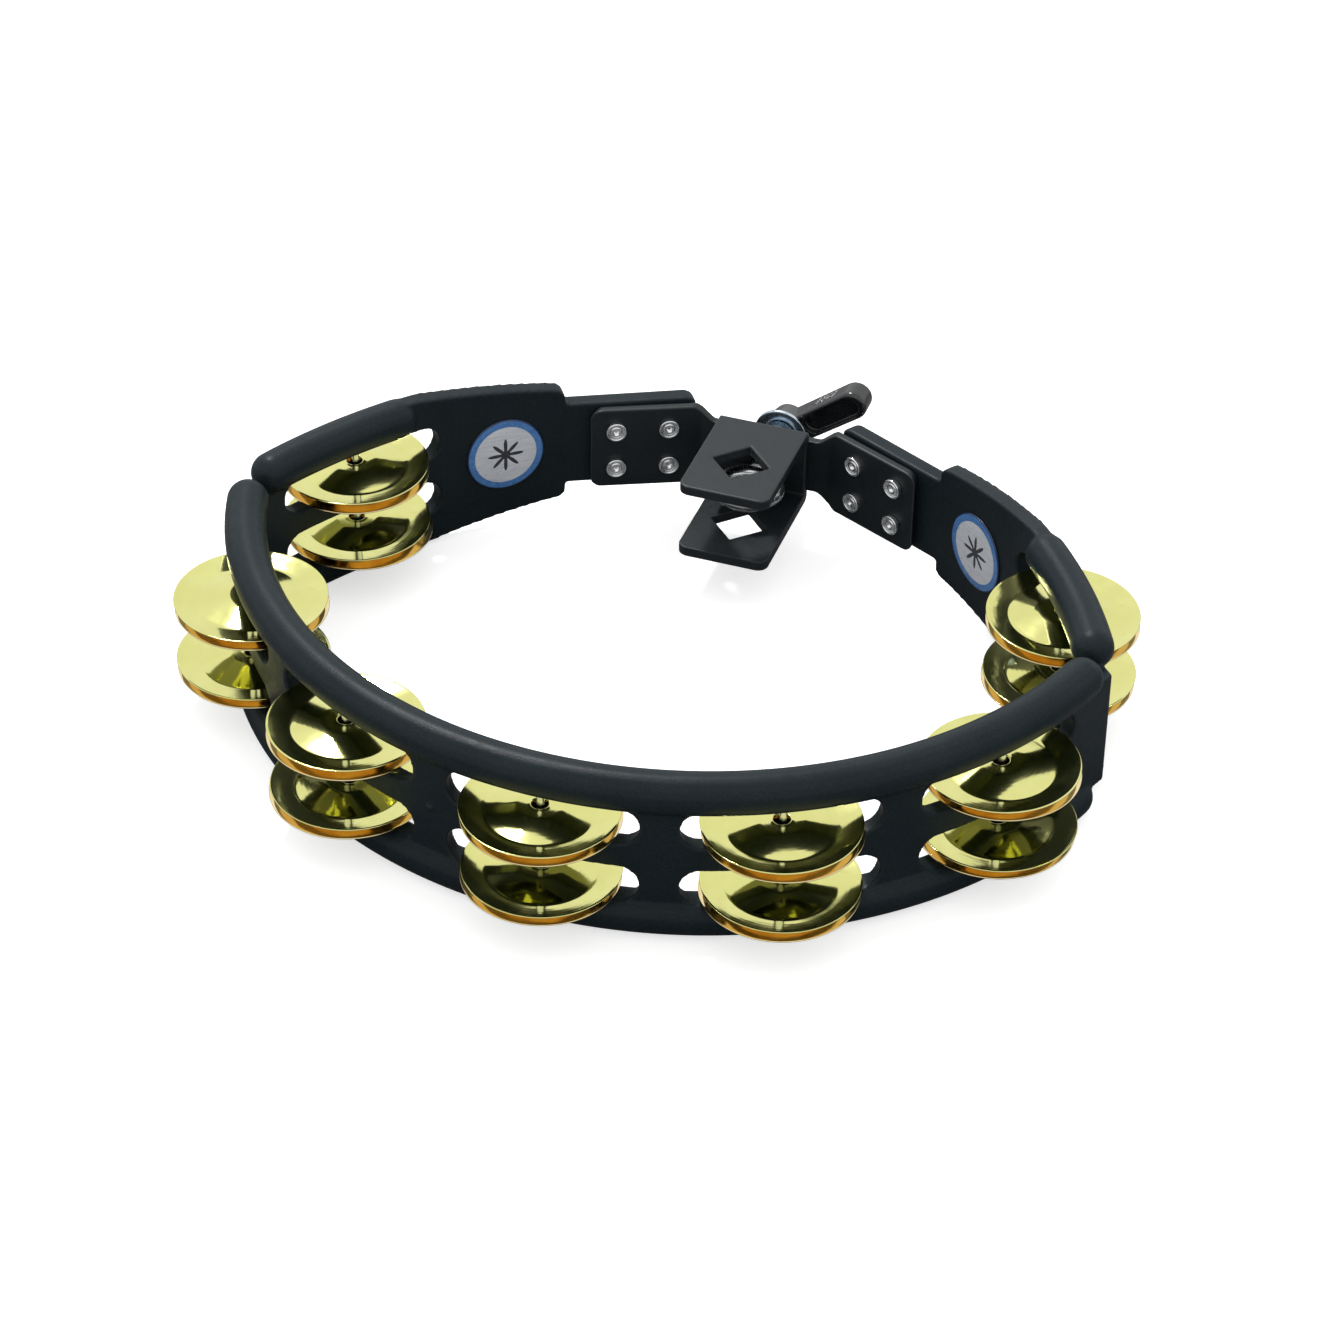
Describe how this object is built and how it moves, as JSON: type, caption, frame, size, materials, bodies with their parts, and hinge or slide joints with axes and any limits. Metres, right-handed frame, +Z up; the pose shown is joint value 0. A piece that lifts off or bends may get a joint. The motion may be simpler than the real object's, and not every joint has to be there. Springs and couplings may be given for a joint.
{
  "type": "clamp-mounted arc tambourine",
  "caption": "Open-arc tambourine with pairs of brass jingles on pins, and a riveted bracket with an eye-bolt clamp that hangs it on a vertical rod.",
  "frame": {"origin": "centre of the whole object's box at rest", "axes": "+X along the object's width, +Y towards the clamp and wing nut, +Z up along the jingle pins and the rod"},
  "size_m": [0.2476, 0.225, 0.0498],
  "materials": {
    "moulded_plastic": "satin, fine moulded grain",
    "polished_brass": "polished, pale yellow",
    "bright_steel": "bright plated steel",
    "powder_coated_steel": "satin black powder coat",
    "zinc_plate": "bluish zinc plate",
    "gloss_plastic": "glossy black",
    "printed_badge": "printed foil with a blue ring"
  },
  "bodies": {
    "frame": {"hoop_frame": "moulded_plastic", "jingle_pin_1": "bright_steel", "jingle_pin_2": "bright_steel", "jingle_pin_3": "bright_steel", "jingle_pin_4": "bright_steel", "jingle_pin_5": "bright_steel", "jingle_pin_6": "bright_steel", "jingle_pin_7": "bright_steel", "mounting_bracket": "powder_coated_steel", "rivet_1": "bright_steel", "rivet_2": "bright_steel", "rivet_3": "bright_steel", "rivet_4": "bright_steel", "rivet_5": "bright_steel", "rivet_6": "bright_steel", "rivet_7": "bright_steel", "rivet_8": "bright_steel", "badge_left": "printed_badge", "badge_right": "printed_badge"},
    "clamp_channel": {"clamp_channel": "powder_coated_steel"},
    "eye_bolt": {"eye_bolt": "bright_steel"},
    "washer": {"spacer": "zinc_plate", "washer": "zinc_plate"},
    "wing_nut": {"wing_nut": "gloss_plastic"},
    "jingle_1_top_lower": {"jingle_1_top_lower": "polished_brass"},
    "jingle_1_top_upper": {"jingle_1_top_upper": "polished_brass"},
    "jingle_1_bottom_lower": {"jingle_1_bottom_lower": "polished_brass"},
    "jingle_1_bottom_upper": {"jingle_1_bottom_upper": "polished_brass"},
    "jingle_2_top_lower": {"jingle_2_top_lower": "polished_brass"},
    "jingle_2_top_upper": {"jingle_2_top_upper": "polished_brass"},
    "jingle_2_bottom_lower": {"jingle_2_bottom_lower": "polished_brass"},
    "jingle_2_bottom_upper": {"jingle_2_bottom_upper": "polished_brass"},
    "jingle_3_top_lower": {"jingle_3_top_lower": "polished_brass"},
    "jingle_3_top_upper": {"jingle_3_top_upper": "polished_brass"},
    "jingle_3_bottom_lower": {"jingle_3_bottom_lower": "polished_brass"},
    "jingle_3_bottom_upper": {"jingle_3_bottom_upper": "polished_brass"},
    "jingle_4_top_lower": {"jingle_4_top_lower": "polished_brass"},
    "jingle_4_top_upper": {"jingle_4_top_upper": "polished_brass"},
    "jingle_4_bottom_lower": {"jingle_4_bottom_lower": "polished_brass"},
    "jingle_4_bottom_upper": {"jingle_4_bottom_upper": "polished_brass"},
    "jingle_5_top_lower": {"jingle_5_top_lower": "polished_brass"},
    "jingle_5_top_upper": {"jingle_5_top_upper": "polished_brass"},
    "jingle_5_bottom_lower": {"jingle_5_bottom_lower": "polished_brass"},
    "jingle_5_bottom_upper": {"jingle_5_bottom_upper": "polished_brass"},
    "jingle_6_top_lower": {"jingle_6_top_lower": "polished_brass"},
    "jingle_6_top_upper": {"jingle_6_top_upper": "polished_brass"},
    "jingle_6_bottom_lower": {"jingle_6_bottom_lower": "polished_brass"},
    "jingle_6_bottom_upper": {"jingle_6_bottom_upper": "polished_brass"},
    "jingle_7_top_lower": {"jingle_7_top_lower": "polished_brass"},
    "jingle_7_top_upper": {"jingle_7_top_upper": "polished_brass"},
    "jingle_7_bottom_lower": {"jingle_7_bottom_lower": "polished_brass"},
    "jingle_7_bottom_upper": {"jingle_7_bottom_upper": "polished_brass"}
  },
  "joints": [
    {"name": "clamp_swivel", "type": "hinge", "parent": "frame", "child": "clamp_channel", "pos_m": [0, 0.08849, -0.0016], "axis": [0, 1, 0], "range_deg": [-90, 90]},
    {"name": "eye_bolt_draw", "type": "slide", "parent": "clamp_channel", "child": "eye_bolt", "axis": [0, 1, 0], "range_m": [-0.0068, 0.0007]},
    {"name": "wing_nut_spin", "type": "hinge", "parent": "clamp_channel", "child": "wing_nut", "pos_m": [0, 0.10429, -0.0016], "axis": [0, -1, 0], "range_deg": [-2448, 252]},
    {"name": "washer_spin", "type": "hinge", "parent": "clamp_channel", "child": "washer", "pos_m": [0, 0.10279, -0.0016], "axis": [0, 1, 0], "continuous": true},
    {"name": "jingle_1_top_lower_slide", "type": "slide", "parent": "frame", "child": "jingle_1_top_lower", "axis": [0, 0, 1], "range_m": [-0.0016, 0.0015]},
    {"name": "jingle_1_top_upper_slide", "type": "slide", "parent": "jingle_1_top_lower", "child": "jingle_1_top_upper", "axis": [0, 0, 1], "range_m": [0, 0.0016]},
    {"name": "jingle_1_bottom_lower_slide", "type": "slide", "parent": "frame", "child": "jingle_1_bottom_lower", "axis": [0, 0, 1], "range_m": [-0.0011, 0.0021]},
    {"name": "jingle_1_bottom_upper_slide", "type": "slide", "parent": "jingle_1_bottom_lower", "child": "jingle_1_bottom_upper", "axis": [0, 0, 1], "range_m": [0, 0.0021]},
    {"name": "jingle_2_top_lower_slide", "type": "slide", "parent": "frame", "child": "jingle_2_top_lower", "axis": [0, 0, 1], "range_m": [-0.0016, 0.0015]},
    {"name": "jingle_2_top_upper_slide", "type": "slide", "parent": "jingle_2_top_lower", "child": "jingle_2_top_upper", "axis": [0, 0, 1], "range_m": [0, 0.0016]},
    {"name": "jingle_2_bottom_lower_slide", "type": "slide", "parent": "frame", "child": "jingle_2_bottom_lower", "axis": [0, 0, 1], "range_m": [-0.0011, 0.0021]},
    {"name": "jingle_2_bottom_upper_slide", "type": "slide", "parent": "jingle_2_bottom_lower", "child": "jingle_2_bottom_upper", "axis": [0, 0, 1], "range_m": [0, 0.0021]},
    {"name": "jingle_3_top_lower_slide", "type": "slide", "parent": "frame", "child": "jingle_3_top_lower", "axis": [0, 0, 1], "range_m": [-0.0016, 0.0015]},
    {"name": "jingle_3_top_upper_slide", "type": "slide", "parent": "jingle_3_top_lower", "child": "jingle_3_top_upper", "axis": [0, 0, 1], "range_m": [0, 0.0016]},
    {"name": "jingle_3_bottom_lower_slide", "type": "slide", "parent": "frame", "child": "jingle_3_bottom_lower", "axis": [0, 0, 1], "range_m": [-0.0011, 0.0021]},
    {"name": "jingle_3_bottom_upper_slide", "type": "slide", "parent": "jingle_3_bottom_lower", "child": "jingle_3_bottom_upper", "axis": [0, 0, 1], "range_m": [0, 0.0021]},
    {"name": "jingle_4_top_lower_slide", "type": "slide", "parent": "frame", "child": "jingle_4_top_lower", "axis": [0, 0, 1], "range_m": [-0.0016, 0.0015]},
    {"name": "jingle_4_top_upper_slide", "type": "slide", "parent": "jingle_4_top_lower", "child": "jingle_4_top_upper", "axis": [0, 0, 1], "range_m": [0, 0.0016]},
    {"name": "jingle_4_bottom_lower_slide", "type": "slide", "parent": "frame", "child": "jingle_4_bottom_lower", "axis": [0, 0, 1], "range_m": [-0.0011, 0.0021]},
    {"name": "jingle_4_bottom_upper_slide", "type": "slide", "parent": "jingle_4_bottom_lower", "child": "jingle_4_bottom_upper", "axis": [0, 0, 1], "range_m": [0, 0.0021]},
    {"name": "jingle_5_top_lower_slide", "type": "slide", "parent": "frame", "child": "jingle_5_top_lower", "axis": [0, 0, 1], "range_m": [-0.0016, 0.0015]},
    {"name": "jingle_5_top_upper_slide", "type": "slide", "parent": "jingle_5_top_lower", "child": "jingle_5_top_upper", "axis": [0, 0, 1], "range_m": [0, 0.0016]},
    {"name": "jingle_5_bottom_lower_slide", "type": "slide", "parent": "frame", "child": "jingle_5_bottom_lower", "axis": [0, 0, 1], "range_m": [-0.0011, 0.0021]},
    {"name": "jingle_5_bottom_upper_slide", "type": "slide", "parent": "jingle_5_bottom_lower", "child": "jingle_5_bottom_upper", "axis": [0, 0, 1], "range_m": [0, 0.0021]},
    {"name": "jingle_6_top_lower_slide", "type": "slide", "parent": "frame", "child": "jingle_6_top_lower", "axis": [0, 0, 1], "range_m": [-0.0016, 0.0015]},
    {"name": "jingle_6_top_upper_slide", "type": "slide", "parent": "jingle_6_top_lower", "child": "jingle_6_top_upper", "axis": [0, 0, 1], "range_m": [0, 0.0016]},
    {"name": "jingle_6_bottom_lower_slide", "type": "slide", "parent": "frame", "child": "jingle_6_bottom_lower", "axis": [0, 0, 1], "range_m": [-0.0011, 0.0021]},
    {"name": "jingle_6_bottom_upper_slide", "type": "slide", "parent": "jingle_6_bottom_lower", "child": "jingle_6_bottom_upper", "axis": [0, 0, 1], "range_m": [0, 0.0021]},
    {"name": "jingle_7_top_lower_slide", "type": "slide", "parent": "frame", "child": "jingle_7_top_lower", "axis": [0, 0, 1], "range_m": [-0.0016, 0.0015]},
    {"name": "jingle_7_top_upper_slide", "type": "slide", "parent": "jingle_7_top_lower", "child": "jingle_7_top_upper", "axis": [0, 0, 1], "range_m": [0, 0.0016]},
    {"name": "jingle_7_bottom_lower_slide", "type": "slide", "parent": "frame", "child": "jingle_7_bottom_lower", "axis": [0, 0, 1], "range_m": [-0.0011, 0.0021]},
    {"name": "jingle_7_bottom_upper_slide", "type": "slide", "parent": "jingle_7_bottom_lower", "child": "jingle_7_bottom_upper", "axis": [0, 0, 1], "range_m": [0, 0.0021]}
  ],
  "couplings": [
    {"joint": "wing_nut_spin", "follows": "eye_bolt_draw", "rad_per_m": 6283.2}
  ]
}
